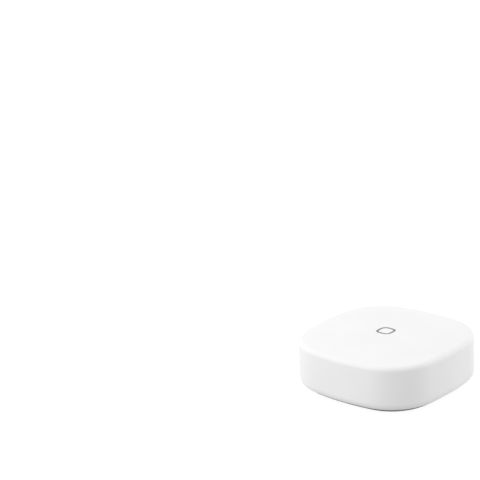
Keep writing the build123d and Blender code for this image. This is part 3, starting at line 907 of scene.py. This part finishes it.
# %% The room
ROOM_LEVEL = 0.92
BOUNCE_LEVEL = 0.475
SEEN_LEVEL = 1.0
HORIZON_BLEND = 0.05
world = bpy.data.worlds.new("white_room")
bpy.context.scene.world = world
world.use_nodes = True
tree = world.node_tree
background = tree.nodes["Background"]
direction = add(tree, "ShaderNodeTexCoord")
split = add(tree, "ShaderNodeSeparateXYZ", {0: direction.outputs["Generated"]})
room = add(
    tree, "ShaderNodeMapRange",
    {"Value": split.outputs["Z"], "From Min": -HORIZON_BLEND, "From Max": HORIZON_BLEND,
     "To Min": BOUNCE_LEVEL, "To Max": ROOM_LEVEL},
)
strength = add(
    tree, "ShaderNodeMix", {"Factor": seen_by_eye(tree), "A": room.outputs[0], "B": SEEN_LEVEL}
)
tree.links.new(strength.outputs["Result"], background.inputs["Strength"])
background.inputs["Color"].default_value = colour(1.0)
print(f"the room gives {ROOM_LEVEL} from above and {BOUNCE_LEVEL} from below")

# %% [markdown]
# One lamp stands on the left and a lower one on the right, which leave the corner between them
# softly shaded. A satin top that is seen at a low angle would mirror a lamp as a wide white patch,
# so the lamps don't show in gloss, and only the room does.

# %% The lamps
LEFT_POWER = 3.3
LEFT_AZIMUTH = -135
LEFT_ELEVATION = 20
RIGHT_POWER = 2.9
RIGHT_AZIMUTH = 60
RIGHT_ELEVATION = 5
LAMP_DISTANCE = 1.0
LAMP_SIZE = 0.7


def soft_lamp(name, azimuth, elevation, power):
    """A wide lamp that faces the button from two angles in degrees."""
    lamp = bpy.data.lights.new(name, "AREA")
    lamp.shape = "DISK"
    lamp.size = LAMP_SIZE
    lamp.energy = power
    holder = bpy.data.objects.new(name, lamp)
    bpy.context.scene.collection.objects.link(holder)
    turn, rise = radians(azimuth), radians(elevation)
    outward = Vector((cos(turn) * cos(rise), sin(turn) * cos(rise), sin(rise)))
    holder.location = outward * LAMP_DISTANCE
    holder.visible_glossy = False
    holder.rotation_euler = (-outward).to_track_quat("-Z", "Y").to_euler()


soft_lamp("left_lamp", LEFT_AZIMUTH, LEFT_ELEVATION, LEFT_POWER)
soft_lamp("right_lamp", RIGHT_AZIMUTH, RIGHT_ELEVATION, RIGHT_POWER)
print("lit the scene")

# %% [markdown]
# The camera stands where the photograph was taken from, about half a metre away. Its place comes
# from fitting the outline of the button, and it is turned a little to one side, because the button
# isn't in the middle of the picture.

# %% The camera
CAMERA_AZIMUTH = radians(36.902)
CAMERA_ELEVATION = radians(21.972)
CAMERA_DISTANCE = 0.520842
CAMERA_YAW = radians(5.157)
CAMERA_PITCH = radians(4.227)
CAMERA_ROLL = radians(-0.915)
FOCAL_PIXELS = 1598.1
PICTURE_PIXELS = 480
SENSOR_WIDTH = 36.0
NEAREST_SEEN = 0.01
FARTHEST_SEEN = 20.0

back = Vector((
    sin(CAMERA_AZIMUTH) * cos(CAMERA_ELEVATION),
    -cos(CAMERA_AZIMUTH) * cos(CAMERA_ELEVATION),
    sin(CAMERA_ELEVATION),
))
right = Vector((cos(CAMERA_AZIMUTH), sin(CAMERA_AZIMUTH), 0))
upright = back.cross(right)
facing = Matrix((right, upright, back)).transposed()
turned_aside = Matrix.Rotation(CAMERA_YAW, 3, "Y") @ Matrix.Rotation(CAMERA_PITCH, 3, "X")
turned_aside = turned_aside @ Matrix.Rotation(CAMERA_ROLL, 3, "Z")
aim = Vector((0, 0, height / 2 * MILLIMETRE))
place = Matrix.Translation(aim + back * CAMERA_DISTANCE)

lens = bpy.data.cameras.new("photo_camera")
lens.sensor_width = SENSOR_WIDTH
lens.lens = FOCAL_PIXELS * SENSOR_WIDTH / PICTURE_PIXELS
lens.clip_start = NEAREST_SEEN
lens.clip_end = FARTHEST_SEEN
camera = bpy.data.objects.new("photo_camera", lens)
bpy.context.scene.collection.objects.link(camera)
camera.matrix_world = place @ (facing @ turned_aside).to_4x4()
bpy.context.scene.camera = camera
bpy.context.scene.view_settings.view_transform = "Standard"
print(f"the camera's lens is {lens.lens:.1f} mm")
